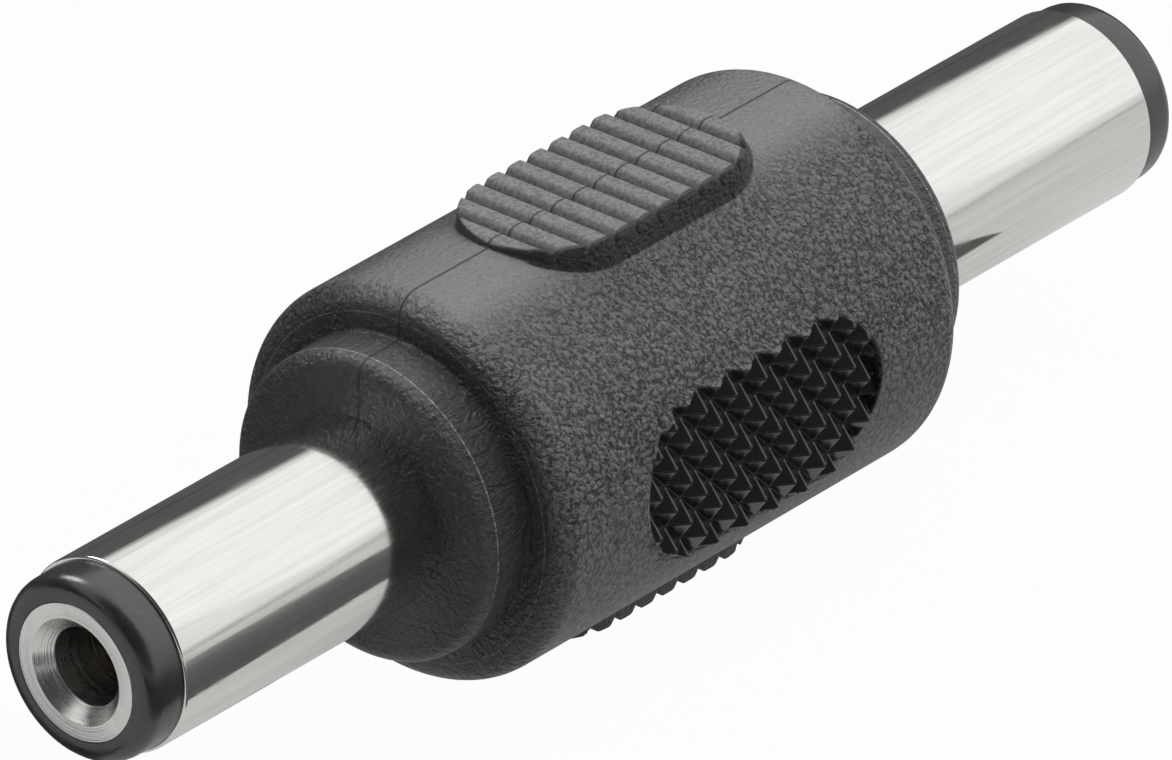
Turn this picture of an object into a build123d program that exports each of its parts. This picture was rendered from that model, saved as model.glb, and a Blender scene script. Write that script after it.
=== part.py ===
from build123d import *
from math import ceil, radians, sqrt, tan
import os

# Male to male adapter for round power plugs. X runs along both plugs and Z up through the top pad.
# The origin is on the common axis, midway between the two noses. Sizes are in millimetres.

# Grip, moulded in one shot over both plugs
grip_radius = 5.65
grip_length = 16.4
shoulder_radius = 0.7
collar_radius = 4.4
collar_length = 1.6
collar_edge_radius = 0.45

# Finger pads: reeded above and below on the parting line, proud of the round; diamonds on both sides
reed_pitch = 0.86
reed_count = 11
reed_height = 0.34
reed_rise = 0.22
reed_half_width = 2.33
reed_end_chamfer = 0.2
reed_end_trim = 0.1
diamond_half_width = 2.3
diamond_pitch = 0.86
diamond_depth = 0.42
diamond_flat = 0.07
diamond_draft_angle = 23.5
pad_root_overlap = 0.3
pad_margin = 0.05

# Outer contact of each plug: a turned sleeve whose tapered neck and flats are locked in by the grip
plug_radius = 2.75
plug_exposed_length = 9.95
sleeve_wall = 0.45
sleeve_edge_chamfer = 0.08
neck_depth = 0.15
flange_cover = 0.6
flange_length = 2.0
flange_height = 0.65
flange_flats = 4
flat_depth = 0.25

# Insulator of each plug, with its nose in front of the sleeve
nose_length = 1.2
nose_step = 0.1
nose_rounding = 0.45
nose_draft_angle = 1.5
hub_radius = 1.5

# Centre contact of each plug: a tube with a funnel mouth and a spring fork behind it
contact_radius = 1.95
funnel_radius = 1.5
funnel_depth = 0.45
socket_radius = 1.1
socket_depth = 9.9
socket_land = 2.0
chamber_wall = 0.35
fork_thickness = 0.2
fork_width = 1.0
fork_bend_radius = 0.15
fork_spring_radius = 6.0
fork_tip_gap = 0.4
fork_tip_length = 1.3
fork_tip_flare = 0.1
fork_root_flare = 0.1
fork_clearance = 0.01

# Rivet, tags and washer that close the back of each plug
rivet_radius = 0.5
rivet_head_radius = 1.0
rivet_head_thickness = 0.3
rivet_upset_radius = 0.85
rivet_upset_thickness = 0.35
tag_thickness = 0.25
tag_width = 1.6
tag_bend_radius = 0.3
sleeve_tag_inset = 0.2
sleeve_tag_tail = 3.0
centre_tag_radius = 1.9
centre_tag_tail = 2.4
washer_thickness = 0.75
washer_radius = 2.4

# Links soldered between the tags of the two plugs
wire_radius = 0.3
wire_lap = 1.2
wire_strip = 0.6
insulation_wall = 0.25
solder_length = 0.9
solder_radius = 0.55
solder_film = 0.06

# Stations along X, from the middle of the grip outwards
grip_face = grip_length / 2
collar_face = grip_face + collar_length
sleeve_front = collar_face + plug_exposed_length
plug_tip = sleeve_front + nose_length
flange_front = collar_face - flange_cover
sleeve_rear = flange_front - flange_length
sleeve_tag_rear = sleeve_rear - tag_thickness
hub_rear = sleeve_tag_rear - washer_thickness
centre_tag_rear = hub_rear - tag_thickness
rivet_rear = centre_tag_rear - rivet_upset_thickness
socket_mouth = plug_tip - funnel_depth
rivet_head_face = socket_mouth - socket_depth
fork_seat = rivet_head_face - rivet_head_thickness - fork_thickness
chamber_front = socket_mouth - socket_land

# Radii that follow from the ones above
sleeve_bore = plug_radius - sleeve_wall
flange_radius = plug_radius + flange_height
chamber_radius = contact_radius - chamber_wall
sleeve_tag_radius = flange_radius - sleeve_tag_inset
pad_length = reed_count * reed_pitch
reeded_length = pad_length - 2 * reed_end_trim


def keep(piece, name):
    """Label a finished piece and write it to its own file."""
    piece.label = name
    export_step(piece, f"parts/{name}.step")


def sagitta(half_chord):
    """Drop of the grip's round surface at a distance from a pad's centre line."""
    return grip_radius - sqrt(grip_radius**2 - half_chord**2)


def turned(side, outline):
    """Solid turned about X from an outline of (station, radius) points."""
    with BuildPart() as blank:
        with BuildSketch(Plane.XZ):
            with BuildLine():
                Polyline([(side * station, radius) for station, radius in outline], close=True)
            make_face()
        revolve(axis=Axis.X)
    return blank.part


def rim(part, station):
    """The widest circular edge of a part in the plane at a station along X."""
    level = part.edges().filter_by(GeomType.CIRCLE).filter_by_position(Axis.X, station, station)
    return level.sort_by(SortBy.RADIUS)[-1]


def make_sleeve(side):
    neck_radius = plug_radius - neck_depth
    outline = [
        (sleeve_rear, sleeve_bore),
        (sleeve_rear, flange_radius),
        (flange_front, flange_radius),
        (flange_front, neck_radius),
        (collar_face, plug_radius),
        (sleeve_front, plug_radius),
        (sleeve_front, sleeve_bore),
    ]
    with BuildPart() as sleeve:
        add(turned(side, outline))
        chamfer(rim(sleeve, side * sleeve_front), length=sleeve_edge_chamfer)
        # Flats round the flange keep the plug from turning in the grip
        with BuildSketch(Plane.YZ.offset(side * sleeve_rear)):
            with PolarLocations(flange_radius, flange_flats):
                Rectangle(2 * flat_depth, 2 * flange_radius)
        extrude(amount=side * flange_length, mode=Mode.SUBTRACT)
    return sleeve.part


def make_insulator(side):
    nose_radius = plug_radius - nose_step
    nose_tip_radius = nose_radius - nose_length * tan(radians(nose_draft_angle))
    outline = [
        (hub_rear, rivet_radius),
        (hub_rear, hub_radius),
        (sleeve_rear, hub_radius),
        (sleeve_rear, sleeve_bore),
        (sleeve_front, sleeve_bore),
        (sleeve_front, nose_radius),
        (plug_tip, nose_tip_radius),
        (plug_tip, contact_radius),
        (fork_seat, contact_radius),
        (fork_seat, rivet_radius),
    ]
    with BuildPart() as insulator:
        add(turned(side, outline))
        fillet(rim(insulator, side * plug_tip), radius=nose_rounding)
    return insulator.part


def make_centre_tube(side):
    outline = [
        (fork_seat, chamber_radius),
        (fork_seat, contact_radius),
        (plug_tip, contact_radius),
        (plug_tip, funnel_radius),
        (socket_mouth, socket_radius),
        (chamber_front, socket_radius),
        (chamber_front, chamber_radius),
    ]
    return turned(side, outline)


def make_contact_fork(side):
    """Disc on the floor of the tube with two tines that bow in towards the jack's pin."""
    tip = chamber_front - fork_tip_gap
    touch = tip - fork_tip_length
    base = fork_seat + fork_thickness / 2
    touch_height = socket_radius + fork_clearance + fork_thickness / 2
    half_path = [
        (tip, touch_height + fork_tip_flare),
        (touch, touch_height),
        (base, touch_height + fork_root_flare),
    ]
    path = half_path + [(station, -height) for station, height in reversed(half_path)]
    bends = [fork_spring_radius, fork_bend_radius, fork_bend_radius, fork_spring_radius]
    with BuildPart() as fork:
        with BuildSketch(Plane.XZ):
            with BuildLine():
                FilletPolyline([(side * station, height) for station, height in path], radius=bends)
            trace(line_width=fork_thickness)
        extrude(amount=fork_width / 2, both=True)
        with BuildSketch(Plane.YZ.offset(side * fork_seat)):
            Circle(chamber_radius)
        extrude(amount=side * fork_thickness)
        with BuildSketch(Plane.YZ.offset(side * fork_seat)):
            Circle(rivet_radius)
        extrude(amount=side * fork_thickness, mode=Mode.SUBTRACT)
    return fork.part


def make_rivet(side):
    outline = [
        (rivet_rear, 0),
        (rivet_rear, rivet_upset_radius),
        (centre_tag_rear, rivet_upset_radius),
        (centre_tag_rear, rivet_radius),
        (fork_seat + fork_thickness, rivet_radius),
        (fork_seat + fork_thickness, rivet_head_radius),
        (rivet_head_face, rivet_head_radius),
        (rivet_head_face, 0),
    ]
    return turned(side, outline)


def make_washer(side):
    with BuildPart() as washer:
        with BuildSketch(Plane.YZ.offset(side * hub_rear)):
            Circle(washer_radius)
            Circle(hub_radius, mode=Mode.SUBTRACT)
        extrude(amount=side * washer_thickness)
    return washer.part


def make_tag(side, rear, ring_radius, hole_radius, tail_length, up):
    """Stamped ring with a tail bent back from its top (up = 1) or bottom (up = -1)."""
    front = rear + tag_thickness
    middle = rear + tag_thickness / 2
    tail_height = ring_radius - tag_thickness / 2
    tail = [(middle, hole_radius), (middle, tail_height), (front - tail_length, tail_height)]
    with BuildPart() as tag:
        with BuildSketch(Plane.YZ.offset(side * rear)):
            Circle(ring_radius - tag_thickness)
        extrude(amount=side * tag_thickness)
        with BuildSketch(Plane.XZ):
            with BuildLine():
                FilletPolyline([(side * station, up * height) for station, height in tail],
                               radius=tag_bend_radius)
            trace(line_width=tag_thickness)
        extrude(amount=tag_width / 2, both=True)
        with BuildSketch(Plane.YZ.offset(side * rear)):
            Circle(hole_radius)
        extrude(amount=side * tag_thickness, mode=Mode.SUBTRACT)
    return tag.part


def make_rod(half_length, height, radius, bore):
    """Round bar along X at a height above the axis, hollow if it has a bore."""
    with BuildPart() as rod:
        with BuildSketch(Plane.YZ):
            with Locations((0, height)):
                Circle(radius)
                if bore:
                    Circle(bore, mode=Mode.SUBTRACT)
        extrude(amount=half_length, both=True)
    return rod.part


def make_solder(side, tail_end, wire_height, up):
    """Collar of solder round a wire's end, flat where it wets the tag's tail."""
    start = tail_end + (wire_lap - solder_length) / 2
    tail_face = up * (wire_radius + solder_film)
    with BuildPart() as solder:
        with BuildSketch(Plane.YZ.offset(side * start)):
            with Locations((0, wire_height)):
                Circle(solder_radius)
                with Locations((0, tail_face + up * solder_radius)):
                    Rectangle(2 * solder_radius, 2 * solder_radius, mode=Mode.SUBTRACT)
                Circle(wire_radius, mode=Mode.SUBTRACT)
        extrude(amount=side * solder_length)
    return solder.part


def make_pad_pocket(length, half_width, depth):
    """Stadium pocket under a pad, cut into the round of the grip."""
    with BuildPart() as pocket:
        with BuildSketch(Plane.XY.offset(grip_radius - depth)):
            SlotOverall(length, 2 * half_width)
        extrude(amount=depth + pad_margin)
    return pocket.part


def make_reeded_pad():
    """Half-round reeds across the grip, cut to a stadium that trims the outer two and is chamfered above."""
    root = sagitta(reed_half_width) + pad_root_overlap
    crest = grip_radius + reed_rise
    valley = crest - reed_height
    pattern_end = pad_length / 2
    with BuildPart() as pad:
        with BuildSketch(Plane.XY.offset(grip_radius - root)):
            SlotOverall(reeded_length, 2 * reed_half_width)
        extrude(amount=root + reed_rise + pad_margin)
        chamfer(pad.faces().sort_by(Axis.Z)[-1].edges(), length=reed_end_chamfer + pad_margin)
        with BuildSketch(Plane.XZ):
            with BuildLine():
                for reed in range(reed_count):
                    start = reed * reed_pitch - pattern_end
                    ThreePointArc((start, valley),
                                  (start + reed_pitch / 2, crest),
                                  (start + reed_pitch, valley))
                Polyline((pattern_end, valley),
                         (pattern_end + reed_pitch, valley),
                         (pattern_end + reed_pitch, 0),
                         (-pattern_end - reed_pitch, 0),
                         (-pattern_end - reed_pitch, valley),
                         (-pattern_end, valley))
            make_face()
        extrude(amount=2 * reed_half_width, both=True, mode=Mode.INTERSECT)
    return pad.part


def make_diamond_pad():
    """Stadium with a drafted border, crossed by two sets of V grooves that leave pyramids."""
    root = sagitta(diamond_half_width) + pad_root_overlap
    foot = root * tan(radians(diamond_draft_angle))
    half_groove = (diamond_pitch - diamond_flat) / 2
    groove_reach = ceil((pad_length / 2 + foot) / diamond_pitch)
    with BuildPart() as pad:
        with BuildSketch(Plane.XY.offset(grip_radius - root)):
            SlotOverall(pad_length + 2 * foot, 2 * (diamond_half_width + foot))
        extrude(amount=root, taper=diamond_draft_angle)
        for slant in (-1, 1):
            across = Plane(origin=(0, 0, grip_radius), x_dir=(1, slant, 0), z_dir=(slant, -1, 0))
            with BuildSketch(across):
                with GridLocations(diamond_pitch, 0, 2 * groove_reach + 1, 1):
                    Polygon((0, -diamond_depth), (half_groove, 0), (half_groove, pad_margin),
                            (-half_groove, pad_margin), (-half_groove, 0), align=None)
            extrude(amount=pad_length, both=True, mode=Mode.SUBTRACT)
    return pad.part


def make_grip(inserts):
    """Grip with its collars and pads, hollow where it closes round the inserts."""
    reed_pocket = make_pad_pocket(reeded_length, reed_half_width, reed_height - reed_rise + pad_margin)
    reeded_pad = make_reeded_pad()
    diamond_pocket = make_pad_pocket(pad_length, diamond_half_width, diamond_depth + pad_margin)
    diamond_pad = make_diamond_pad()
    with BuildPart() as grip:
        with BuildSketch(Plane.YZ):
            Circle(grip_radius)
        extrude(amount=grip_face, both=True)
        fillet(grip.edges().filter_by(GeomType.CIRCLE), radius=shoulder_radius)
        with BuildSketch(Plane.YZ):
            Circle(collar_radius)
        extrude(amount=collar_face, both=True)
        fillet([rim(grip, end * collar_face) for end in (-1, 1)], radius=collar_edge_radius)
        for turn in (0, 180):
            add(reed_pocket, rotation=(turn, 0, 0), mode=Mode.SUBTRACT)
            add(reeded_pad, rotation=(turn, 0, 0))
        for turn in (90, 270):
            add(diamond_pocket, rotation=(turn, 0, 0), mode=Mode.SUBTRACT)
            add(diamond_pad, rotation=(turn, 0, 0))
        for side in (-1, 1):
            with BuildSketch(Plane.YZ.offset(side * sleeve_rear)):
                Circle(sleeve_bore)
            extrude(amount=side * (collar_face - sleeve_rear), mode=Mode.SUBTRACT)
        for insert in inserts:
            add(insert, mode=Mode.SUBTRACT)
    return grip.part


def make_plug(side):
    """The pieces of one plug, by name, from its nose to its tags."""
    return {
        "sleeve": make_sleeve(side),
        "insulator": make_insulator(side),
        "centre_tube": make_centre_tube(side),
        "contact_fork": make_contact_fork(side),
        "rivet": make_rivet(side),
        "washer": make_washer(side),
        "sleeve_tag": make_tag(side, sleeve_tag_rear, sleeve_tag_radius, hub_radius,
                               sleeve_tag_tail, 1),
        "centre_tag": make_tag(side, centre_tag_rear, centre_tag_radius, rivet_radius,
                               centre_tag_tail, -1),
    }


def make_link(contact, rear, ring_radius, tail_length, up):
    """Insulated wire between two tags and the solder at both its ends, by name."""
    tail_end = rear + tag_thickness - tail_length
    wire_height = up * (ring_radius - tag_thickness - solder_film - wire_radius)
    outer = wire_radius + insulation_wall
    return {
        f"{contact}_wire": make_rod(tail_end + wire_lap, wire_height, wire_radius, 0),
        f"{contact}_wire_insulation": make_rod(tail_end - wire_strip, wire_height, outer, wire_radius),
        f"front_{contact}_solder": make_solder(-1, tail_end, wire_height, up),
        f"rear_{contact}_solder": make_solder(1, tail_end, wire_height, up),
    }


os.makedirs("parts", exist_ok=True)
pieces = {}
for end, side in (("front", -1), ("rear", 1)):
    for name, part in make_plug(side).items():
        pieces[f"{end}_{name}"] = part
pieces.update(make_link("sleeve", sleeve_tag_rear, sleeve_tag_radius, sleeve_tag_tail, 1))
pieces.update(make_link("centre", centre_tag_rear, centre_tag_radius, centre_tag_tail, -1))
pieces["grip"] = make_grip(list(pieces.values()))
for name, part in pieces.items():
    keep(part, name)
    print(name, len(part.solids()), round(part.volume, 4))
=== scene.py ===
from math import cos, pi, radians, sin, tan

import bmesh
import bpy
import numpy as np
from bpy.props import FloatProperty, FloatVectorProperty, IntProperty, PointerProperty
from mathutils import Matrix, Vector


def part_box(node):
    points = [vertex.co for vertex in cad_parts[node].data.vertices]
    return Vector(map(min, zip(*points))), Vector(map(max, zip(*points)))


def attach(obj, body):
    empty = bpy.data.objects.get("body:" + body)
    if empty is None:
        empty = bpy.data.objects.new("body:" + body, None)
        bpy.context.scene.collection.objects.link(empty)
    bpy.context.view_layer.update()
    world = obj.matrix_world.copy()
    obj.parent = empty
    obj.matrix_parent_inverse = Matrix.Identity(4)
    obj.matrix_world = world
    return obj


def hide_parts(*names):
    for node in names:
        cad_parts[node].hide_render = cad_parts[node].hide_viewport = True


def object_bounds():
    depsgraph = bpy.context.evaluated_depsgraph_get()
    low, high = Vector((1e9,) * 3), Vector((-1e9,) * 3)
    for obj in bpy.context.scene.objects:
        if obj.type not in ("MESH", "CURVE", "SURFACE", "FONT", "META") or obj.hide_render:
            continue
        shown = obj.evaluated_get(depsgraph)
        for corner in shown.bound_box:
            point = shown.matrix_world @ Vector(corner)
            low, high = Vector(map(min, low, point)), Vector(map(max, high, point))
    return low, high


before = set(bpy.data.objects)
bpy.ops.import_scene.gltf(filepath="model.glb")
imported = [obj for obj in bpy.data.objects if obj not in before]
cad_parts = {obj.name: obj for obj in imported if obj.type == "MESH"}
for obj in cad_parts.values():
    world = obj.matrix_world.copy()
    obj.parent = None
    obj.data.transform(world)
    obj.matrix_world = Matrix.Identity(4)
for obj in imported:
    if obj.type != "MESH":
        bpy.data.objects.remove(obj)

bl_info = {
    "name": "Male to male power plug adapter",
    "version": (1, 0, 0),
    "blender": (4, 5, 0),
    "location": "View3D > Sidebar > Adapter",
    "description": "Finishes a moulded adapter with a plug at each end, and sets its studio stage",
    "category": "Object",
}

MM = 0.001
SAME_POINT = 0.0005 * MM
WHITE = (1.0, 1.0, 1.0, 1.0)
CAD_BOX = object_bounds()
GRIP_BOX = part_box("grip")
SIDES = (("front", -1), ("rear", 1))


# Sizes and finishes that a user would change

def length(name, description, millimetres):
    """A length in the sidebar, given in millimetres and kept in metres."""
    return FloatProperty(name=name, description=description, default=millimetres * MM,
                         min=0, precision=5, unit="LENGTH", subtype="DISTANCE")


def colour(name, description, value):
    """A plain colour in the sidebar."""
    return FloatVectorProperty(name=name, description=description, default=value,
                               min=0, max=1, size=3, subtype="COLOR")


class GripSizes(bpy.types.PropertyGroup):
    radius: FloatProperty(name="Radius", description="Radius of the round grip", unit="LENGTH",
                          default=GRIP_BOX[1][1], precision=5)
    face: length("Face", "Distance from the middle to each end face", 8.2)
    shoulder: length("Shoulder", "Rounding between the side and the end faces", 0.7)
    collar_radius: length("Collar radius", "Radius of the collar at each end", 4.4)
    collar_face: FloatProperty(name="Collar face", unit="LENGTH", default=GRIP_BOX[1][0], precision=5,
                               description="Distance from the middle to each collar's face")
    collar_edge: length("Collar edge", "Rounding of the collar's outer corner", 0.45)
    collar_root: length("Collar root", "Hollow rounding where the collar leaves the end face", 0.12)
    window_length: length("Window length", "Half length of the patch that carries a pad", 5.16)
    window_width: length("Window width", "Half width of the patch that carries a pad", 2.8)


class PadSizes(bpy.types.PropertyGroup):
    pitch: length("Pitch", "Distance between reeds, and between diamond grooves", 0.86)
    reeds: IntProperty(name="Reeds", description="Number of reeds in a pad", default=11, min=3)
    reed_height: length("Reed height", "Height of a reed over its valleys", 0.34)
    reed_rise: FloatProperty(name="Reed rise", description="Height of a reed over the round of the grip",
                             unit="LENGTH", default=GRIP_BOX[1][2] - GRIP_BOX[1][1], precision=5)
    reed_half_width: length("Reeded half width", "Half width of a reeded pad", 2.33)
    reed_fullness: FloatProperty(name="Reed fullness", default=3.4, min=1,
                                 description="Power that sets how full a reed's round is")
    reed_end_rounding: length("Reed end rounding", "Rounding of the reeds' ends", 0.12)
    reed_end_trim: length("Reed end trim", "Length that the pad's outline takes off its outer reeds", 0.1)
    diamond_half_width: length("Diamond half width", "Half width of a diamond pad at its top", 2.3)
    diamond_depth: length("Diamond depth", "Depth of the grooves between the diamonds", 0.42)
    diamond_flat: length("Diamond flat", "Width of each diamond's flat top", 0.07)
    draft: FloatProperty(name="Draft", description="Slope of a diamond pad's border wall", subtype="ANGLE",
                         default=radians(23.5))
    softness: length("Softness", "Reach of the moulded rounding of each crest", 0.035)
    wall: length("Wall", "Width over which a pad's upright border wall falls", 0.04)
    snap: length("Snap", "Distance from a pad's outline within which the grid is drawn to it", 0.1)
    rows_per_reed: IntProperty(name="Rows per reed", description="Grid rows across one reed", default=24)
    columns: IntProperty(name="Columns", description="Grid columns across a pad's patch", default=156)


class PlugSizes(bpy.types.PropertyGroup):
    radius: length("Radius", "Outer radius of the sleeve", 2.75)
    wall: length("Wall", "Thickness of the sleeve", 0.45)
    front: length("Front", "Distance from the middle to the sleeve's front rim", 19.75)
    edge: length("Edge", "Broken outer edge of the sleeve's rim", 0.08)
    neck: length("Neck", "Depth of the tapered neck that the collar fills", 0.15)
    neck_front: FloatProperty(name="Neck front", description="Distance from the middle to the neck's front",
                              unit="LENGTH", default=GRIP_BOX[1][0], precision=5)
    flange_front: length("Flange front", "Distance from the middle to the flange's front", 9.2)
    flange_radius: length("Flange radius", "Radius of the flange inside the grip", 3.4)
    rear: length("Rear", "Distance from the middle to the sleeve's back", 7.2)
    hub_rear: length("Hub rear", "Distance from the middle to the insulator's hub", 6.2)
    hub_radius: length("Hub radius", "Radius of the insulator's hub", 1.5)
    rivet_radius: length("Rivet radius", "Radius of the rivet's shank", 0.5)
    seat: length("Seat", "Distance from the middle to the floor of the centre contact", 10.1)
    tip: FloatProperty(name="Tip", description="Distance from the middle to the nose's face", unit="LENGTH",
                       default=CAD_BOX[1][0], precision=5)
    nose_step: length("Nose step", "Step from the sleeve down to the nose", 0.1)
    nose_rounding: length("Nose rounding", "Rounding of the nose's outer edge", 0.45)
    nose_draft: FloatProperty(name="Nose draft", description="Taper of the nose", subtype="ANGLE",
                              default=radians(1.5))
    contact_radius: length("Contact radius", "Outer radius of the centre contact", 1.95)
    funnel_radius: length("Funnel radius", "Radius of the funnel's mouth", 1.5)
    funnel_depth: length("Funnel depth", "Depth of the funnel", 0.45)
    socket_radius: length("Socket radius", "Radius of the socket's bore", 1.1)
    chamber_front: length("Chamber front", "Distance from the middle to the end of the bore's land", 18.5)
    chamber_radius: length("Chamber radius", "Radius of the chamber behind the land", 1.6)
    fine_edge: length("Fine edge", "Rounding that every turned edge keeps", 0.03)
    segments: IntProperty(name="Segments", description="Columns round each turned piece", default=192)


class Finishes(bpy.types.PropertyGroup):
    grip: colour("Grip", "Soft moulded grip", (0.11, 0.11, 0.111))
    diamonds: colour("Diamonds", "Polished faces of the diamond pads", (0.005, 0.005, 0.005))
    nickel: colour("Nickel", "Bright plate on the sleeves", (0.82, 0.805, 0.775))
    nose: colour("Nose", "Moulded nose of each plug", (0.022, 0.022, 0.023))
    contact: colour("Contact", "Turned centre contact", (0.80, 0.79, 0.77))
    bronze: colour("Bronze", "Spring fork inside the contact", (0.66, 0.45, 0.25))
    tin: colour("Tin", "Tinned rivets, tags and wires", (0.70, 0.69, 0.66))
    fibre: colour("Fibre", "Washer between the tags", (0.32, 0.12, 0.08))
    red: colour("Red", "Insulation of the centre wire", (0.5, 0.03, 0.03))


class StageSizes(bpy.types.PropertyGroup):
    azimuth: FloatProperty(name="Azimuth", description="Camera's angle round the adapter", subtype="ANGLE",
                           default=radians(-49.8))
    elevation: FloatProperty(name="Elevation", description="Camera's angle above the floor", subtype="ANGLE",
                             default=radians(28.8))
    distance: FloatProperty(name="Distance", description="Camera's distance from the adapter", unit="LENGTH",
                            default=0.5)
    pixels_per_mm: FloatProperty(name="Pixels per mm", description="Scale of the image at the adapter",
                                 default=37.9)
    image_width: IntProperty(name="Image width", description="Width of the image in pixels", default=1172)
    image_height: IntProperty(name="Image height", description="Height of the image in pixels", default=760)
    centre_column: FloatProperty(name="Centre column", description="Pixel column of the adapter's centre",
                                 default=602.0)
    centre_row: FloatProperty(name="Centre row", description="Pixel row of the adapter's centre",
                              default=372.5)
    fill: FloatProperty(name="Fill", description="Level of the soft light from above", default=2.9)
    key: FloatProperty(name="Key", description="Power of the large lamp above, in watts", default=0.3)
    rim: FloatProperty(name="Rim", description="Power of the lamp behind, in watts", default=0.6)


# Grids, outlines and meshes

def grid_faces(rows, columns, closed_rows=False, closed_columns=False):
    """Quads of a grid of points kept row by row. Each goes along the rows first and the columns next,
    so it faces along (step to the next row) x (step to the next column)."""
    row = np.arange(rows if closed_rows else rows - 1)[:, None]
    column = np.arange(columns if closed_columns else columns - 1)[None, :]
    next_row = (row + 1) % rows
    next_column = (column + 1) % columns
    corners = (row * columns + column, next_row * columns + column,
               next_row * columns + next_column, row * columns + next_column)
    return np.stack(corners, axis=-1).reshape(-1, 4)


def make_piece(name, grids, sharp_angle=None):
    """Mesh object from a list of (points, faces) grids, joined where they share an edge."""
    points, faces, start = [], [], 0
    for grid_points, quads in grids:
        points.append(grid_points.reshape(-1, 3))
        faces.append(quads + start)
        start += len(points[-1])
    mesh = bpy.data.meshes.new(name)
    mesh.from_pydata(np.concatenate(points).tolist(), [], np.concatenate(faces).tolist())
    shape = bmesh.new()
    shape.from_mesh(mesh)
    bmesh.ops.remove_doubles(shape, verts=shape.verts, dist=SAME_POINT)
    shape.to_mesh(mesh)
    shape.free()
    mesh.shade_smooth()
    if sharp_angle:
        mesh.set_sharp_from_angle(angle=sharp_angle)
    piece = bpy.data.objects.new(name, mesh)
    bpy.context.scene.collection.objects.link(piece)
    return piece


def finish_piece(piece, node, material):
    """The piece takes its node's place on the body and its material."""
    piece.data.materials.append(material)
    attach(piece, "root")
    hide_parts(node)


def rounded_outline(corners, steps):
    """Outline through (station, radius, rounding) corners. A corner with a rounding r becomes the arc that
    touches both its sides: its centre lies r / sin(h) from the corner on the bisector, where h is half the
    angle between the sides, and its points turn evenly from one touching point to the other."""
    points = []
    turn = np.linspace(0, 1, steps + 1)[:, None]
    for i, (station, radius, rounding) in enumerate(corners):
        here = np.array((station, radius))
        if rounding == 0:
            points.append(here[None, :])
            continue
        back = np.array(corners[i - 1][:2]) - here
        on = np.array(corners[(i + 1) % len(corners)][:2]) - here
        back /= np.linalg.norm(back)
        on /= np.linalg.norm(on)
        half = np.arccos(back @ on) / 2
        centre = here + (back + on) / np.linalg.norm(back + on) * rounding / sin(half)
        first = here + back * rounding / tan(half) - centre
        last = here + on * rounding / tan(half) - centre
        sweep = pi - 2 * half
        arc = (np.sin((1 - turn) * sweep) * first + np.sin(turn * sweep) * last) / sin(sweep)
        points.append(centre + arc)
    return np.concatenate(points)


def turned_grid(outline, angles):
    """Surface of revolution about X: the point at (station, radius) and angle a from +Z is
    (station, radius sin a, radius cos a)."""
    station, radius = outline[:, 0][:, None], outline[:, 1][:, None]
    return np.stack([station + 0 * angles, radius * np.sin(angles), radius * np.cos(angles)], axis=-1)


def turned_piece(name, side, corners, sizes):
    """A closed outline of (station, radius, rounding) corners, turned about X on the plug's side."""
    outline = rounded_outline(corners, steps=6)
    if side < 0:
        outline = outline[::-1] * (-1, 1)
    angles = np.linspace(0, 2 * pi, sizes.segments, endpoint=False)
    faces = grid_faces(len(outline), len(angles), True, True)
    return make_piece(name, [(turned_grid(outline, angles), faces)], sharp_angle=radians(35))


# Grip: a turned body with four patches that carry the pads

def soft_min(a, b, reach):
    """The lower of two heights, with the crease between them rounded: their blend less reach h (1 - h),
    where h runs from 0 to 1 as b - a runs from -reach to reach."""
    h = np.clip(0.5 + 0.5 * (b - a) / reach, 0, 1)
    return b * (1 - h) + a * h - reach * h * (1 - h)


def stadium_distance(x, y, length, half_width):
    """Distance to a stadium's outline, below zero inside it: the distance of (x, y) from the middle line,
    which is length - 2 half_width long, less half_width."""
    beyond = np.maximum(np.abs(x) - (length / 2 - half_width), 0)
    return np.hypot(beyond, y) - half_width


def draw_to_outline(x, y, length, half_width, reach):
    """Moves a grid's points towards a stadium's outline, so that its wall comes out thin and even: a point
    at a distance d within the reach goes to the distance d |d| / reach, straight across the outline."""
    distance = stadium_distance(x, y, length, half_width)
    near = np.minimum(np.abs(distance) / reach, 1)
    shift = distance * (near - 1)
    beyond = np.maximum(np.abs(x) - (length / 2 - half_width), 0) * np.sign(x)
    from_line = np.maximum(np.hypot(beyond, y), half_width / 2)
    return x + shift * beyond / from_line, y + shift * y / from_line


def reeded_height(x, y, radius, pad):
    """Reeds across the grip. In each pitch the height falls from the crest, proud of the grip's radius, by
    the reed height times u^fullness, where u runs from 0 at the crest to 1 in the valleys; near the
    stadium's outline a quarter circle rounds the ends down. Outside, the height is that of the round grip,
    sqrt(radius^2 - y^2)."""
    length = pad.reeds * pad.pitch
    crest = radius + pad.reed_rise
    distance = stadium_distance(x, y, length - 2 * pad.reed_end_trim, pad.reed_half_width)
    from_crest = np.abs((x + length / 2) / pad.pitch % 1 - 0.5) * 2
    reeds = crest - pad.reed_height * from_crest**pad.reed_fullness
    inward = np.clip(pad.reed_end_rounding + distance, 0, pad.reed_end_rounding)
    ends = crest - pad.reed_end_rounding + np.sqrt(pad.reed_end_rounding**2 - inward**2)
    top = soft_min(reeds, ends, pad.softness)
    body = np.sqrt(radius**2 - y**2)
    fall = np.clip(0.5 + distance / pad.wall, 0, 1)
    fall = fall * fall * (3 - 2 * fall)
    return top * (1 - fall) + body * fall


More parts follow.
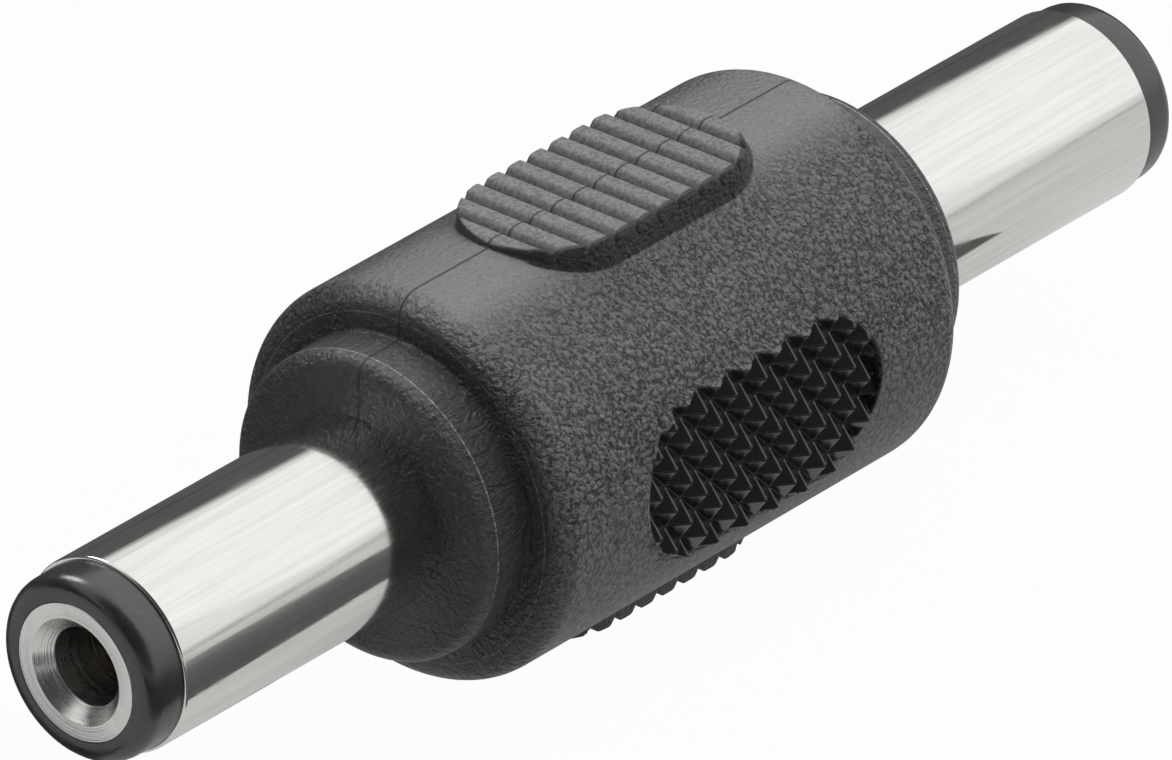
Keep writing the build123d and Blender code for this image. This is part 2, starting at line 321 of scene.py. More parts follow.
def diamond_height(x, y, radius, pad):
    """Two sets of V grooves at 45 degrees, whose depth falls from the crest's flat to the valley, leave
    pyramids. The stadium's border wall drops by distance / tan(draft), and the round grip is the floor."""
    length = pad.reeds * pad.pitch
    distance = stadium_distance(x, y, length, pad.diamond_half_width)
    half_groove = (pad.pitch - pad.diamond_flat) / 2
    height = radius - np.maximum(distance, 0) / tan(pad.draft)
    for slant in (-1, 1):
        across = (x + slant * y) / np.sqrt(2) / pad.pitch
        from_valley = np.abs((across + 0.5) % 1 - 0.5) * pad.pitch
        depth = pad.diamond_depth * np.maximum(0, 1 - from_valley / half_groove)
        height = soft_min(height, radius - depth, pad.softness)
    body = np.sqrt(radius**2 - y**2)
    outside = -soft_min(-height, -body, pad.softness)
    fall = np.clip(0.5 + distance / pad.wall, 0, 1)
    fall = fall * fall * (3 - 2 * fall)
    return height * (1 - fall) + outside * fall


def pad_rows(grip, pad):
    """Stations along X of a patch's rows, with a row on every valley and one on the window's ends."""
    half = pad.reeds * pad.pitch / 2
    inner = np.linspace(-half, half, pad.reeds * pad.rows_per_reed + 1)
    margin_rows = 13
    margin = np.linspace(half, grip.window_length, margin_rows + 1)[1:]
    return np.concatenate([-margin[::-1], inner, margin])


def window_angles(grip, pad):
    """Angles of a patch's columns, asin(y / radius) for even steps of y across the window."""
    y = np.linspace(-grip.window_width, grip.window_width, pad.columns + 1)
    return y, np.arcsin(y / grip.radius)


def make_pad(name, turn, height, trim, half_width, grip, pad):
    """Patch with a height over (x, y), set to the grip's own surface along the window's rim, then turned
    about X from the top to its own side."""
    rows = pad_rows(grip, pad)[:, None]
    columns = window_angles(grip, pad)[0][None, :]
    x, y = draw_to_outline(rows + 0 * columns, 0 * rows + columns, pad.reeds * pad.pitch - 2 * trim,
                           half_width, pad.snap)
    z = height(x, y, grip.radius, pad)
    body = np.sqrt(grip.radius**2 - columns**2)
    z[[0, -1], :] = body
    z[:, [0, -1]] = body[:, [0, -1]]
    points = np.stack([x, y * cos(turn) - z * sin(turn), y * sin(turn) + z * cos(turn)], axis=-1)
    return make_piece(name, [(points, grid_faces(len(rows), columns.shape[1]))], sharp_angle=radians(50))


def grip_outline(side, grip, plug):
    """Outline of one end of the grip, from the windows' end over the shoulder, the end face and the collar
    to the sleeve, and on round the sleeve's neck and flange to the axis."""
    neck = plug.radius - plug.neck
    corners = [
        (grip.window_length, grip.radius, 0),
        ((grip.window_length + grip.face - grip.shoulder) / 2, grip.radius, 0),
        (grip.face, grip.radius, grip.shoulder),
        (grip.face, grip.collar_radius, grip.collar_root),
        (grip.collar_face, grip.collar_radius, grip.collar_edge),
        (grip.collar_face, plug.radius, 0),
        (plug.flange_front, neck, 0),
        (plug.flange_front, plug.flange_radius, 0),
        (plug.rear, plug.flange_radius, 0),
        (plug.rear, 0, 0),
    ]
    outline = rounded_outline(corners, steps=10)
    return outline if side > 0 else outline[::-1] * (-1, 1)


def make_grip_body(grip, pad, plug):
    """Both turned ends of the grip and the four plain strips between its pads."""
    across = window_angles(grip, pad)[1]
    gap_columns = 12
    gap = np.linspace(across[-1], pi / 2 - across[-1], gap_columns + 2)[1:-1]
    quarters = [np.concatenate([across, gap]) + quarter * pi / 2 for quarter in range(4)]
    angles = np.concatenate(quarters)
    grids = []
    for _, side in SIDES:
        points = turned_grid(grip_outline(side, grip, plug), angles)
        grids.append((points, grid_faces(len(points), len(angles), False, True)))
    rows = np.array([(-grip.window_length, grip.radius), (grip.window_length, grip.radius)])
    strip = np.concatenate([across[-1:], gap, pi / 2 - across[-1:]])
    for quarter in range(4):
        grids.append((turned_grid(rows, strip + quarter * pi / 2), grid_faces(2, len(strip))))
    return make_piece("grip_body", grids, sharp_angle=radians(50))


# Plugs

def sleeve_corners(plug):
    """Outline of the sleeve: up the back of its flange, along the barrel, over the rim and back down its
    bore."""
    bore = plug.radius - plug.wall
    neck = plug.radius - plug.neck
    return [
        (plug.rear, bore, 0),
        (plug.rear, plug.flange_radius, 0),
        (plug.flange_front, plug.flange_radius, 0),
        (plug.flange_front, neck, 0),
        (plug.neck_front, plug.radius, 0),
        (plug.front, plug.radius, plug.edge),
        (plug.front, bore, plug.fine_edge),
    ]


def insulator_corners(plug):
    """Outline of the insulator: hub, flange, liner along the sleeve's bore, nose, and its own bore."""
    bore = plug.radius - plug.wall
    nose = plug.radius - plug.nose_step
    tip_radius = nose - (plug.tip - plug.front) * tan(plug.nose_draft)
    return [
        (plug.hub_rear, plug.rivet_radius, 0),
        (plug.hub_rear, plug.hub_radius, 0),
        (plug.rear, plug.hub_radius, 0),
        (plug.rear, bore, 0),
        (plug.front, bore, 0),
        (plug.front, nose, plug.fine_edge),
        (plug.tip, tip_radius, plug.nose_rounding),
        (plug.tip, plug.contact_radius, plug.fine_edge),
        (plug.seat, plug.contact_radius, 0),
        (plug.seat, plug.rivet_radius, 0),
    ]


def contact_corners(plug):
    """Outline of the centre contact: tube, flat rim, funnel, land and chamber."""
    mouth = plug.tip - plug.funnel_depth
    return [
        (plug.seat, plug.chamber_radius, 0),
        (plug.seat, plug.contact_radius, 0),
        (plug.tip, plug.contact_radius, plug.fine_edge),
        (plug.tip, plug.funnel_radius, plug.fine_edge),
        (mouth, plug.socket_radius, plug.fine_edge),
        (plug.chamber_front, plug.socket_radius, 0),
        (plug.chamber_front, plug.chamber_radius, 0),
    ]


# Nodes of the finishes. Every pattern is laid on Object coordinates, in millimetres.

def wire(tree, socket, value):
    """Links a socket to another node's output, or sets it to a plain value."""
    if isinstance(value, bpy.types.NodeSocket):
        tree.links.new(value, socket)
    else:
        socket.default_value = value


def add_node(tree, kind, inputs=None, **settings):
    """Adds a node with its settings and inputs, which are named or numbered."""
    node = tree.nodes.new(kind)
    for key, value in settings.items():
        setattr(node, key, value)
    for key, value in (inputs or {}).items():
        wire(tree, node.inputs[key], value)
    return node


def maths(tree, operation, *values):
    """Output of a Math node."""
    node = add_node(tree, "ShaderNodeMath", dict(enumerate(values)), operation=operation)
    return node.outputs[0]


def plus(tree, a, b):
    """a and b added up."""
    return maths(tree, "ADD", a, b)


def minus(tree, a, b):
    """a less b."""
    return maths(tree, "SUBTRACT", a, b)


def times(tree, a, b):
    """a times b."""
    return maths(tree, "MULTIPLY", a, b)


def without_sign(tree, a):
    """The size of a, whatever its sign."""
    return maths(tree, "ABSOLUTE", a)


def hypotenuse(tree, a, b):
    """Length of (a, b)."""
    return maths(tree, "SQRT", plus(tree, times(tree, a, a), times(tree, b, b)))


def between(tree, factor, a, b):
    """Number between a and b."""
    return add_node(tree, "ShaderNodeMix", {0: factor, 2: a, 3: b}, data_type="FLOAT").outputs[0]


def along_direction(tree, direction, toward):
    """How far a direction points toward another: 1 straight at it, 0 across it, -1 away from it."""
    return add_node(tree, "ShaderNodeVectorMath", {0: direction, 1: toward},
                    operation="DOT_PRODUCT").outputs["Value"]


def ramp(tree, value, low, high, start=0.0, end=1.0):
    """Smooth step from start to end as a value runs from low to high."""
    inputs = {"Value": value, "From Min": low, "From Max": high, "To Min": start, "To Max": end}
    return add_node(tree, "ShaderNodeMapRange", inputs, interpolation_type="SMOOTHSTEP").outputs[0]


def blend(tree, factor, a, b):
    """Colour between a and b."""
    inputs = {0: factor, 6: a, 7: b}
    return add_node(tree, "ShaderNodeMix", inputs, data_type="RGBA").outputs[2]


def millimetres(tree, stretch=(1, 1, 1)):
    """The point on the object in millimetres, each axis stretched by a factor."""
    point = add_node(tree, "ShaderNodeTexCoord").outputs["Object"]
    scale = tuple(s / MM for s in stretch)
    return add_node(tree, "ShaderNodeMapping", {"Vector": point, "Scale": scale}).outputs[0]


def axes(tree, vector):
    """The three numbers of a vector."""
    return add_node(tree, "ShaderNodeSeparateXYZ", {0: vector}).outputs


def noise(tree, vector, scale, detail=3.0, roughness=0.5, distortion=0.0):
    """Soft noise from 0 to 1."""
    inputs = {"Vector": vector, "Scale": scale, "Detail": detail, "Roughness": roughness,
              "Distortion": distortion}
    return add_node(tree, "ShaderNodeTexNoise", inputs).outputs[0]


def cells(tree, vector, scale, smoothness=0.6):
    """Distance to the nearest point of an uneven set, smoothed where the cells meet."""
    inputs = {"Vector": vector, "Scale": scale, "Smoothness": smoothness}
    return add_node(tree, "ShaderNodeTexVoronoi", inputs, feature="SMOOTH_F1").outputs["Distance"]


def relief(tree, height, depth, under=None):
    """Normal of a surface raised by a height from 0 to 1 times a depth in millimetres."""
    inputs = {"Height": height, "Distance": depth * MM, "Strength": 1.0}
    if under is not None:
        inputs["Normal"] = under
    return add_node(tree, "ShaderNodeBump", inputs).outputs[0]


def rgb(value):
    """A colour with its alpha."""
    return (*value, 1.0)


def shade(value, factor):
    """A colour made darker or lighter."""
    return (*(min(1.0, v * factor) for v in value), 1.0)


def new_material(name):
    """A material with only its output: (material, tree, the output's surface)."""
    material = bpy.data.materials.new(name)
    material.use_nodes = True
    tree = material.node_tree
    tree.nodes.clear()
    return material, tree, add_node(tree, "ShaderNodeOutputMaterial").inputs["Surface"]


def new_finish(name):
    """A material with only its output and its shader: (material, tree, shader)."""
    material, tree, surface = new_material(name)
    shader = add_node(tree, "ShaderNodeBsdfPrincipled")
    wire(tree, surface, shader.outputs[0])
    return material, tree, shader


def hairline(tree, value, middle, half_width):
    """1 where a value is at the middle, falling to 0 at the half width."""
    away = without_sign(tree, minus(tree, value, middle))
    return ramp(tree, away, 0.0, half_width, start=1.0, end=0.0)


def stadium_reach(tree, x, across, half_line):
    """Distance in millimetres from a pad's middle line, which runs to half_line on both sides."""
    beyond = maths(tree, "MAXIMUM", minus(tree, without_sign(tree, x), half_line), 0.0)
    return hypotenuse(tree, beyond, across)


def parting_line(tree, point, y):
    """1 on the slightly wavy hairline that the mould's halves leave near the plane Y = 0, and 0 beside it."""
    waver = times(tree, noise(tree, point, scale=2.2, detail=2.0), 0.02)
    return ramp(tree, without_sign(tree, plus(tree, y, waver)), 0.012, 0.04, start=1.0, end=0.0)


def eroded_grain(tree, point, pores):
    """Height of the mould's eroded grain, from 0 in its pits to about 1: rounded pebbles and fine pores."""
    pebbles = ramp(tree, cells(tree, point, scale=4.3, smoothness=0.25), 0.12, 0.55, start=1.0, end=0.0)
    return plus(tree, times(tree, pebbles, 0.55), times(tree, ramp(tree, pores, 0.3, 0.7), 0.55))


def shoulder_wrinkles(tree, along, grip):
    """Height of the wrinkles, drawn out lengthwise, that run over the shoulders and on to the ends."""
    start = (grip.face - grip.shoulder) / MM
    drawn_out = millimetres(tree, (0.3, 1.0, 1.0))
    wrinkles = noise(tree, drawn_out, scale=5.0, detail=3.0, roughness=0.6, distortion=0.8)
    return times(tree, ramp(tree, wrinkles, 0.35, 0.65), ramp(tree, along, start - 0.2, start + 0.3))


def painted_edge_highlights(tree, along, radius, pores, grip):
    """1 on the broken hairlines of painted highlight where each shoulder meets its end face, and on each
    collar's corner."""
    face, shoulder = grip.face / MM, (grip.radius - grip.shoulder) / MM
    corner, collar = (grip.collar_face - grip.collar_edge) / MM, grip.collar_radius / MM
    on_shoulder = times(tree, hairline(tree, radius, shoulder + 0.02, 0.03),
                        ramp(tree, along, face - 0.1, face))
    on_collar = times(tree, hairline(tree, along, corner + 0.03, 0.035),
                      ramp(tree, radius, collar - 0.1, collar - 0.03))
    return times(tree, maths(tree, "MAXIMUM", on_shoulder, on_collar), ramp(tree, pores, 0.3, 0.6))


def reeded_shades(tree, point, pores, body, value, pad):
    """Colours of a reeded pad's patch, and 1 inside its outline: paler crests with painted shade in the cuts
    between them, and painted shade on the border wall, which is widest beside the near ends of the reeds."""
    x, y, z = axes(tree, point)
    half_width = pad.reed_half_width / MM
    half_line = (pad.reeds * pad.pitch / 2 - pad.reed_end_trim) / MM - half_width
    valley = (GRIP_BOX[1][2] - pad.reed_height) / MM
    reach = stadium_reach(tree, x, y, half_line)
    inside = ramp(tree, reach, half_width - 0.1, half_width + 0.05, start=1.0, end=0.0)
    crests = blend(tree, ramp(tree, pores, 0.35, 0.6), shade(value, 0.8), shade(value, 1.7))
    height = without_sign(tree, z)
    # Painted shade in the cuts between the reeds.
    crests = blend(tree, ramp(tree, height, valley + 0.02, valley + 0.17), shade(value, 0.06), crests)
    # Painted shade on the pad's border wall all round, widest and deepest on the near side.
    near_wall_shade = times(tree, hairline(tree, reach, half_width, 0.26), ramp(tree, y, -0.9, -1.5))
    wall = maths(tree, "MAXIMUM", hairline(tree, reach, half_width, 0.09),
                 ramp(tree, near_wall_shade, 0.1, 0.5))
    return blend(tree, wall, blend(tree, inside, body, crests), shade(value, 0.05)), inside


def diamond_shades(tree, point, pores, body, value, pad):
    """Colours of a diamond pad's patch, 1 inside its outline, and 1 where the grain starts again outside:
    polished dark faces."""
    x, _, z = axes(tree, point)
    half_width = pad.diamond_half_width / MM
    reach = stadium_reach(tree, x, z, pad.reeds * pad.pitch / 2 / MM - half_width)
    inside = ramp(tree, reach, half_width + 0.02, half_width + 0.06, start=1.0, end=0.0)
    outside = ramp(tree, reach, half_width + 0.04, half_width + 0.12)
    faces = blend(tree, pores, shade(value, 0.8), shade(value, 1.2))
    return blend(tree, inside, body, faces), inside, outside


def soft_pvc(name, finish, grip, pad, kind):
    """Soft black moulding with a dark parting line. Its eroded grain is faint over the top and coarse down
    the sides, with painted shade in its pits, and turns to wrinkles along the shoulders. Painted shade
    darkens the end faces and collars, and painted highlights run along their corners. The pads have no grain:
    a patch of the kind "reeds" has rough pale crests with painted shade in its cuts and on its border wall,
    and one of the kind "diamonds" smooth dark faces."""
    material, tree, shader = new_finish(name)
    value = finish.grip
    point = millimetres(tree)
    x, y, z = axes(tree, point)
    along = without_sign(tree, x)
    radius = hypotenuse(tree, y, z)
    face = grip.face / MM
    pores = noise(tree, point, scale=9.0, detail=4.0, roughness=0.6, distortion=0.4)
    coarse = eroded_grain(tree, point, pores)
    strength = times(tree, ramp(tree, without_sign(tree, y), 1.2, 3.4, start=0.2),
                     ramp(tree, along, face - 0.1, face, start=1.0, end=0.5))
    unmarked = times(tree, minus(tree, 1.0, strength), 0.6)
    raised = plus(tree, times(tree, coarse, strength), unmarked)
    # The grain's own mottle, with painted shade: its pits are darkened almost to black and its raised parts
    # are left pale.
    colours = blend(tree, ramp(tree, raised, 0.08, 0.5), shade(value, 0.08), shade(value, 1.55))
    # Painted shade: the end faces and collars are darkened to 0.4 of the grip's colour.
    colours = blend(tree, ramp(tree, along, face - 0.08, face - 0.01), colours, shade(value, 0.4))
    # Painted highlight: pale hairlines along the corners of the shoulders and collars.
    colours = blend(tree, painted_edge_highlights(tree, along, radius, pores, grip), colours, shade(value, 3.5))
    rough = ramp(tree, pores, 0.3, 0.7, start=0.28, end=0.40)
    if kind == "reeds":
        colours, inside = reeded_shades(tree, point, pores, colours, value, pad)
        strength = times(tree, strength, minus(tree, 1.0, inside))
        rough = between(tree, inside, rough, 0.62)
    if kind == "diamonds":
        colours, inside, outside = diamond_shades(tree, point, pores, colours, finish.diamonds, pad)
        strength = times(tree, strength, outside)
        rough = between(tree, inside, rough, 0.24)
    line = parting_line(tree, point, y)
    grain = times(tree, plus(tree, coarse, shoulder_wrinkles(tree, along, grip)), strength)
    height = minus(tree, grain, times(tree, line, 0.3))
    fine = relief(tree, noise(tree, point, scale=22.0, detail=2.0, roughness=0.6), depth=0.0025)
    wire(tree, shader.inputs["Normal"], relief(tree, height, depth=0.20, under=fine))
    wire(tree, shader.inputs["Base Color"], blend(tree, line, colours, shade(value, 0.3)))
    wire(tree, shader.inputs["Roughness"], rough)
    shader.inputs["Specular IOR Level"].default_value = 1.0
    return material


def bright_nickel(name, value):
    """Plated sleeve: near mirror, with fine draw lines along its length and a few light rubs."""
    material, tree, shader = new_finish(name)
    lines = noise(tree, millimetres(tree, (0.02, 1.0, 1.0)), scale=7.0, detail=4.0, roughness=0.7)
    hair = noise(tree, millimetres(tree, (0.05, 1.0, 1.0)), scale=30.0, detail=2.0, roughness=0.6)
    cloud = noise(tree, millimetres(tree), scale=0.6, detail=3.0)
    colours = blend(tree, ramp(tree, lines, 0.35, 0.65), shade(value, 0.93), shade(value, 1.03))
    rough = ramp(tree, times(tree, hair, cloud), 0.15, 0.4, start=0.07, end=0.16)
    wire(tree, shader.inputs["Base Color"], colours)
    wire(tree, shader.inputs["Roughness"], rough)
    wire(tree, shader.inputs["Normal"], relief(tree, lines, depth=0.0012, under=relief(tree, hair, 0.0002)))
    shader.inputs["Metallic"].default_value = 1.0
    return material


def turned_metal(name, value):
    """Centre contact: satin face with concentric turning rings."""
    material, tree, shader = new_finish(name)
    point = millimetres(tree)
    x, y, z = axes(tree, point)
    track = add_node(tree, "ShaderNodeCombineXYZ", {0: hypotenuse(tree, y, z), 1: x, 2: 0.0}).outputs[0]
    rings = noise(tree, track, scale=16.0, detail=3.0, roughness=0.7)
    smear = noise(tree, point, scale=3.0, detail=3.0)
    rough = ramp(tree, times(tree, rings, smear), 0.1, 0.4, start=0.16, end=0.30)
    wire(tree, shader.inputs["Base Color"], blend(tree, rings, shade(value, 0.86), shade(value, 1.05)))
    wire(tree, shader.inputs["Roughness"], rough)
    wire(tree, shader.inputs["Normal"], relief(tree, rings, depth=0.02))
    shader.inputs["Metallic"].default_value = 1.0
    return material


def scuffed_nylon(name, value):
    """Nose of the plug: satin black, paler where it has rubbed in the jack."""
    material, tree, shader = new_finish(name)
    point = millimetres(tree)
    drawn_out = millimetres(tree, (0.25, 1.0, 1.0))
    scratches = noise(tree, drawn_out, scale=9.0, detail=5.0, roughness=0.7, distortion=1.5)
    haze = noise(tree, point, scale=1.6, detail=3.0)
    pits = noise(tree, point, scale=12.0, detail=3.0, roughness=0.6)
    rub = times(tree, ramp(tree, scratches, 0.6, 0.72), ramp(tree, haze, 0.45, 0.6))
    wire(tree, shader.inputs["Base Color"], blend(tree, rub, rgb(value), shade(value, 5.0)))
    wire(tree, shader.inputs["Roughness"], ramp(tree, haze, 0.3, 0.7, start=0.18, end=0.32))
    wire(tree, shader.inputs["Normal"], relief(tree, pits, depth=0.003))
    shader.inputs["Specular IOR Level"].default_value = 1.0
    return material


def hidden_metal(name, value, roughness, stretch):
    """Stamped or drawn metal inside the grip, with its rolling marks."""
    material, tree, shader = new_finish(name)
    marks = noise(tree, millimetres(tree, stretch), scale=9.0, detail=4.0, roughness=0.6)
    rough = ramp(tree, marks, 0.3, 0.7, start=roughness, end=roughness + 0.2)
    wire(tree, shader.inputs["Base Color"], blend(tree, marks, shade(value, 0.75), shade(value, 1.1)))
    wire(tree, shader.inputs["Roughness"], rough)
    wire(tree, shader.inputs["Normal"], relief(tree, marks, depth=0.003))
    shader.inputs["Metallic"].default_value = 1.0
    return material


def hidden_plastic(name, value, scale):
    """Fibre or extruded insulation inside the grip, faintly mottled."""
    material, tree, shader = new_finish(name)
    mottle = noise(tree, millimetres(tree), scale, detail=5.0, roughness=0.65)
    wire(tree, shader.inputs["Base Color"], blend(tree, mottle, shade(value, 0.7), shade(value, 1.25)))
    wire(tree, shader.inputs["Roughness"], ramp(tree, mottle, 0.3, 0.7, start=0.4, end=0.6))
    wire(tree, shader.inputs["Normal"], relief(tree, mottle, depth=0.004))
    return material


# Operators

class ADAPTER_OT_grip(bpy.types.Operator):
    """Makes the grip's turned body and its four pads"""
    bl_idname = "adapter.grip"
    bl_label = "Grip"

    def execute(self, context):
        scene = context.scene
        grip, pad, plug, finish = (scene.adapter_grip, scene.adapter_pads, scene.adapter_plugs,
                                   scene.adapter_finishes)
        plain = soft_pvc("soft_pvc", finish, grip, pad, "plain")
        reeded = soft_pvc("reeded_pvc", finish, grip, pad, "reeds")
        diamonds = soft_pvc("diamond_pvc", finish, grip, pad, "diamonds")
        finish_piece(make_grip_body(grip, pad, plug), "grip", plain)
        for name, turn in (("top", 0), ("bottom", pi)):
            piece = make_pad(f"reeded_pad_{name}", turn, reeded_height, pad.reed_end_trim,
                             pad.reed_half_width, grip, pad)
            finish_piece(piece, "grip", reeded)
        for name, turn in (("near", pi / 2), ("far", -pi / 2)):
            piece = make_pad(f"diamond_pad_{name}", turn, diamond_height, 0, pad.diamond_half_width,
                             grip, pad)
            finish_piece(piece, "grip", diamonds)
        return {"FINISHED"}


class ADAPTER_OT_plugs(bpy.types.Operator):
    """Makes the sleeve, the insulator and the centre contact of both plugs"""
    bl_idname = "adapter.plugs"
    bl_label = "Plugs"

    def execute(self, context):
        plug, finish = context.scene.adapter_plugs, context.scene.adapter_finishes
        kinds = (
            ("sleeve", sleeve_corners(plug), "nickel_plate",
             bright_nickel("bright_nickel", finish.nickel)),
            ("insulator", insulator_corners(plug), "black_nylon",
             scuffed_nylon("scuffed_nylon", finish.nose)),
            ("centre_tube", contact_corners(plug), "turned_nickel",
             turned_metal("turned_nickel", finish.contact)),
        )
        for end, side in SIDES:
            for kind, corners, slot, material in kinds:
                piece = turned_piece(f"{end}_{kind}_turned", side, corners, plug)
                finish_piece(piece, f"{end}_{kind}", material)
        return {"FINISHED"}


class ADAPTER_OT_inside(bpy.types.Operator):
    """Finishes the contacts, tags, washers, wires and solder that the grip hides"""
    bl_idname = "adapter.inside"
    bl_label = "Inside"

    def execute(self, context):
        finish = context.scene.adapter_finishes
        tinned = hidden_metal("tinned_metal", finish.tin, 0.3, (0.3, 1.0, 1.0))
        materials = {
            "contact_fork": hidden_metal("rolled_bronze", finish.bronze, 0.25, (0.1, 1.0, 1.0)),
            "rivet": tinned,
            "sleeve_tag": tinned,
            "centre_tag": tinned,
            "washer": hidden_plastic("pressed_fibre", finish.fibre, 6.0),
            "sleeve_solder": hidden_metal("wetted_solder", finish.tin, 0.2, (1.0, 1.0, 1.0)),
            "sleeve_wire": hidden_metal("tinned_strands", finish.tin, 0.3, (1.0, 0.2, 0.2)),
            "sleeve_wire_insulation": hidden_plastic("black_wire_pvc", finish.nose, 2.0),
            "centre_wire_insulation": hidden_plastic("red_wire_pvc", finish.red, 2.0),
        }
        materials["centre_solder"] = materials["sleeve_solder"]
        materials["centre_wire"] = materials["sleeve_wire"]
        missing = set(materials)
        for name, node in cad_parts.items():
            kind = name.removeprefix("front_").removeprefix("rear_")
            if kind in materials:
                node.data.materials.clear()
                node.data.materials.append(materials[kind])
                missing.discard(kind)
        if missing:
            raise RuntimeError(f"The frame has no {', '.join(sorted(missing))}")
        return {"FINISHED"}


class ADAPTER_OT_stage(bpy.types.Operator):
    """Sets the pale floor, the soft studio light, dark cards of painted shade that only shiny parts show, and
    the camera
    """
    bl_idname = "adapter.stage"
    bl_label = "Stage"

    def execute(self, context):
        stage = context.scene.adapter_stage
        make_floor()
        light_world(context.scene, stage)
        add_lamp("key_lamp", direction=(0.66, -0.156, 0.735), distance=0.5, size=0.8, power=stage.key)
        add_lamp("rim_lamp", direction=(0.05, 0.70, 0.71), distance=0.5, size=0.18, power=stage.rim)
        # Painted shade seen only in shiny parts: a dark floor behind the adapter, and painted shadow on the
        # floor before it and beside the front plug.
        add_painted_shade("painted_shade_behind", across=(-25, 1400), along=(10, 1450), level=0.10, far_level=0.10)
        add_painted_shade("painted_shadow_before", across=(-60, 19), along=(-7, -70), level=0.10, far_level=0.40)
        add_painted_shade("painted_shadow_left", across=(-25, -11), along=(1, 10), level=0.10, far_level=0.10)
        place_camera(context.scene, stage)
        context.scene.view_settings.view_transform = "Standard"
        return {"FINISHED"}


# Stage

def glowing(tree, strength):
    """White light of a strength, the same from every side."""
    return add_node(tree, "ShaderNodeEmission", {"Color": WHITE, "Strength": strength}).outputs[0]


def ray_kinds(tree):
    """(1 for the rays that the camera sends, 1 for those that metal and glass send)."""
    path = add_node(tree, "ShaderNodeLightPath").outputs
    return path["Is Camera Ray"], maths(tree, "MAXIMUM", path["Is Glossy Ray"], path["Is Transmission Ray"])


def pale_floor():
    """Floor that looks near white to the camera, with the adapter's soft shadow on it, and pale in metal. It
    throws light back as light grey paper does."""
    material, tree, surface = new_material("pale_floor")
    paper = noise(tree, millimetres(tree), scale=0.05, detail=3.0)
    tint = blend(tree, paper, rgb((0.30, 0.30, 0.30)), rgb((0.34, 0.34, 0.34)))
    lit = add_node(tree, "ShaderNodeBsdfDiffuse", {"Color": tint}).outputs[0]
    camera, shiny = ray_kinds(tree)
    white_share = plus(tree, times(tree, camera, 0.97), times(tree, shiny, 0.45))
    mixed = add_node(tree, "ShaderNodeMixShader", {0: white_share, 1: lit, 2: glowing(tree, 1.0)})
    wire(tree, surface, mixed.outputs[0])
    return material


def flat_sheet(name, across, along, height):
    """Level rectangle that faces up, between two places along X and two along Y."""
    (left, right), (near, far) = across, along
    corners = np.array([[(left, near, height), (left, far, height)],
                        [(right, near, height), (right, far, height)]])
    return make_piece(name, [(corners, grid_faces(2, 2))])


def make_floor():
    """Square floor under the adapter, level with its lowest point."""
    half_side = 1.5
    floor = flat_sheet("floor", (-half_side, half_side), (-half_side, half_side), CAD_BOX[0][2])
    floor.data.materials.append(pale_floor())


def add_painted_shade(name, across, along, level, far_level):
    """Dark card of painted shade on the floor, given in millimetres along X and Y, which only shows in what
    is shiny, where it stands in for shade on the floor. Its level runs smoothly from its first edge along Y
    to the other."""
    height_over_floor = 0.05 * MM
    start, end = along
    card = flat_sheet(name, [place * MM for place in across], [place * MM for place in sorted(along)],
                      CAD_BOX[0][2] + height_over_floor)
    material, tree, surface = new_material(name)
    y = axes(tree, millimetres(tree))[1]
    share = maths(tree, "DIVIDE", minus(tree, y, start), end - start)
    wire(tree, surface, glowing(tree, ramp(tree, share, 0.0, 1.0, start=level, end=far_level)))
    card.data.materials.append(material)
    card.visible_camera = False
    card.visible_diffuse = False
    card.visible_shadow = False
    card.visible_transmission = False


def camera_direction(stage):
    """Unit vector from the adapter toward the camera."""
    return Vector((sin(stage.azimuth) * cos(stage.elevation), -cos(stage.azimuth) * cos(stage.elevation),
                   sin(stage.elevation)))


def light_world(scene, stage):
    """White all round for the camera. Metal sees a white tent that opens behind the adapter and round the
    camera, where the studio is dark, and dims at the skyline. Diffuse light comes from a round patch of
    sky, high over the near side and the rear plug."""
    world = bpy.data.worlds.new("studio")
    scene.world = world
    world.use_nodes = True
    tree = world.node_tree
    tree.nodes.clear()
    direction = add_node(tree, "ShaderNodeTexCoord").outputs["Generated"]
    _, y, z = axes(tree, direction)
    turn = maths(tree, "ARCTAN2", z, times(tree, y, -1.0))
    tent_end = radians(140)
    tent = ramp(tree, turn, tent_end - radians(6), tent_end + radians(6), start=0.88, end=0.10)
    toward_camera = along_direction(tree, direction, camera_direction(stage))
    outer_ring, inner_ring = radians(62), radians(38)
    opening = ramp(tree, toward_camera, cos(outer_ring), cos(inner_ring), start=1.0, end=0.06)
    skyline = ramp(tree, z, -0.05, 0.12, start=0.35)
    reflected = times(tree, times(tree, tent, opening), skyline)
    sky_middle = Vector((0.4, -0.38, 0.84)).normalized()
    sky = ramp(tree, along_direction(tree, direction, sky_middle), 0.55, 1.0, end=stage.fill)
    camera, shiny = ray_kinds(tree)
    level = between(tree, camera, between(tree, shiny, sky, reflected), 1.0)
    background = add_node(tree, "ShaderNodeBackground", {"Color": WHITE, "Strength": level})
    output = add_node(tree, "ShaderNodeOutputWorld")
    tree.links.new(background.outputs[0], output.inputs["Surface"])


def add_lamp(name, direction, distance, size, power):
    """Square lamp at a distance from the adapter in a direction, facing it."""
    lamp = bpy.data.lights.new(name, "AREA")
    lamp.shape = "SQUARE"
    lamp.size = size
    lamp.energy = power
    holder = bpy.data.objects.new(name, lamp)
    toward = Vector(direction).normalized()
    turn = toward.to_track_quat("Z", "Y").to_matrix().to_4x4()
    holder.matrix_world = Matrix.Translation(toward * distance) @ turn
    bpy.context.scene.collection.objects.link(holder)


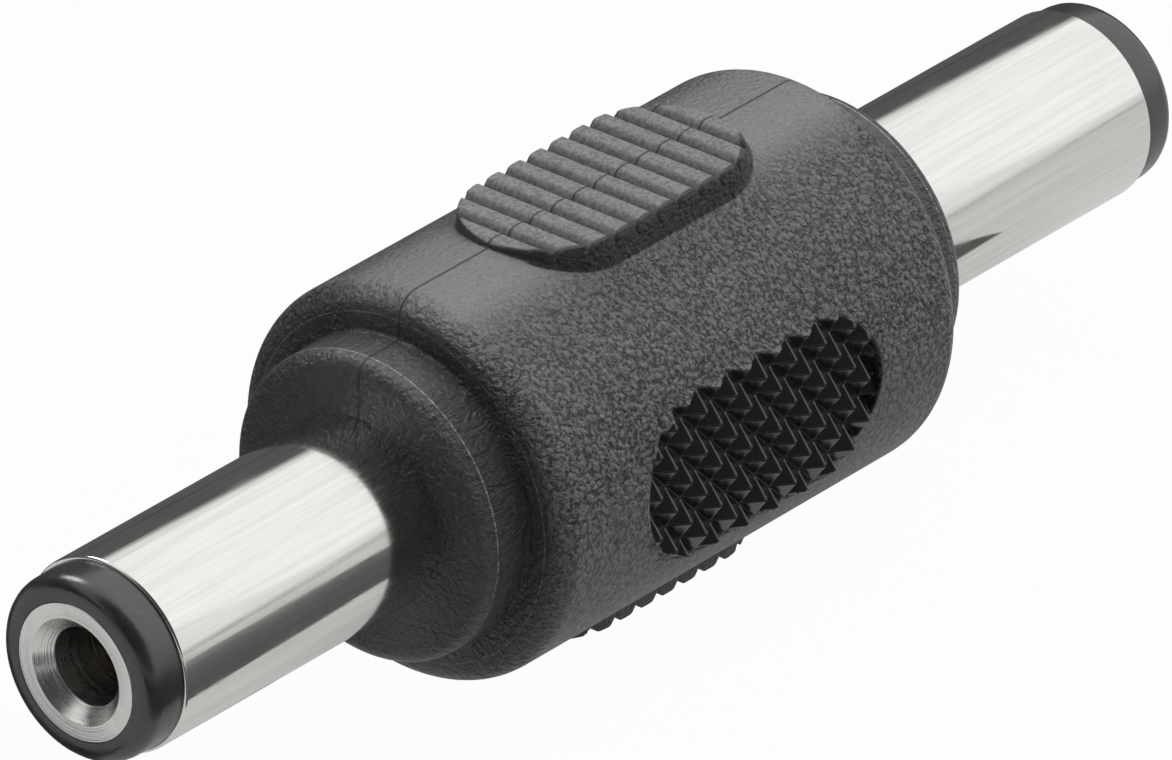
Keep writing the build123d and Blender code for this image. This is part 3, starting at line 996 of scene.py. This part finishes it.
def place_camera(scene, stage):
    """Long-lens camera on its azimuth and elevation, moved sideways until the adapter's centre falls on its
    pixel."""
    camera = bpy.data.cameras.new("camera")
    camera.sensor_width = 36.0
    scale = stage.pixels_per_mm / MM
    camera.lens = scale * stage.distance * camera.sensor_width / stage.image_width
    back = camera_direction(stage)
    right = Vector((cos(stage.azimuth), sin(stage.azimuth), 0))
    up = back.cross(right)
    aside = (stage.image_width / 2 - stage.centre_column) / scale
    above = (stage.centre_row - stage.image_height / 2) / scale
    place = back * stage.distance + right * aside + up * above
    holder = bpy.data.objects.new("camera", camera)
    turn = Matrix((right, up, back)).transposed().to_4x4()
    holder.matrix_world = Matrix.Translation(place) @ turn
    scene.collection.objects.link(holder)
    scene.camera = holder


class ADAPTER_PT_panel(bpy.types.Panel):
    """Sidebar panel with a button for each step"""
    bl_idname = "ADAPTER_PT_panel"
    bl_label = "Power plug adapter"
    bl_space_type = "VIEW_3D"
    bl_region_type = "UI"
    bl_category = "Adapter"

    def draw(self, context):
        for operator in OPERATORS:
            self.layout.operator(operator.bl_idname)


GROUPS = {
    "adapter_grip": GripSizes,
    "adapter_pads": PadSizes,
    "adapter_plugs": PlugSizes,
    "adapter_finishes": Finishes,
    "adapter_stage": StageSizes,
}
OPERATORS = (ADAPTER_OT_stage, ADAPTER_OT_grip, ADAPTER_OT_plugs, ADAPTER_OT_inside)


def register():
    """Registers the classes and hangs the settings on the scene."""
    for group in GROUPS.values():
        bpy.utils.register_class(group)
    for operator in OPERATORS:
        bpy.utils.register_class(operator)
    bpy.utils.register_class(ADAPTER_PT_panel)
    for name, group in GROUPS.items():
        setattr(bpy.types.Scene, name, PointerProperty(type=group))


def unregister():
    """Undoes register."""
    for name in GROUPS:
        delattr(bpy.types.Scene, name)
    bpy.utils.unregister_class(ADAPTER_PT_panel)
    for operator in reversed(OPERATORS):
        bpy.utils.unregister_class(operator)
    for group in reversed(GROUPS.values()):
        bpy.utils.unregister_class(group)


def main():
    """Registers the add-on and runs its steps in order."""
    register()
    for operator in OPERATORS:
        group, name = operator.bl_idname.split(".")
        getattr(getattr(bpy.ops, group), name)()
    bpy.context.view_layer.update()


if __name__ == "__main__":
    main()
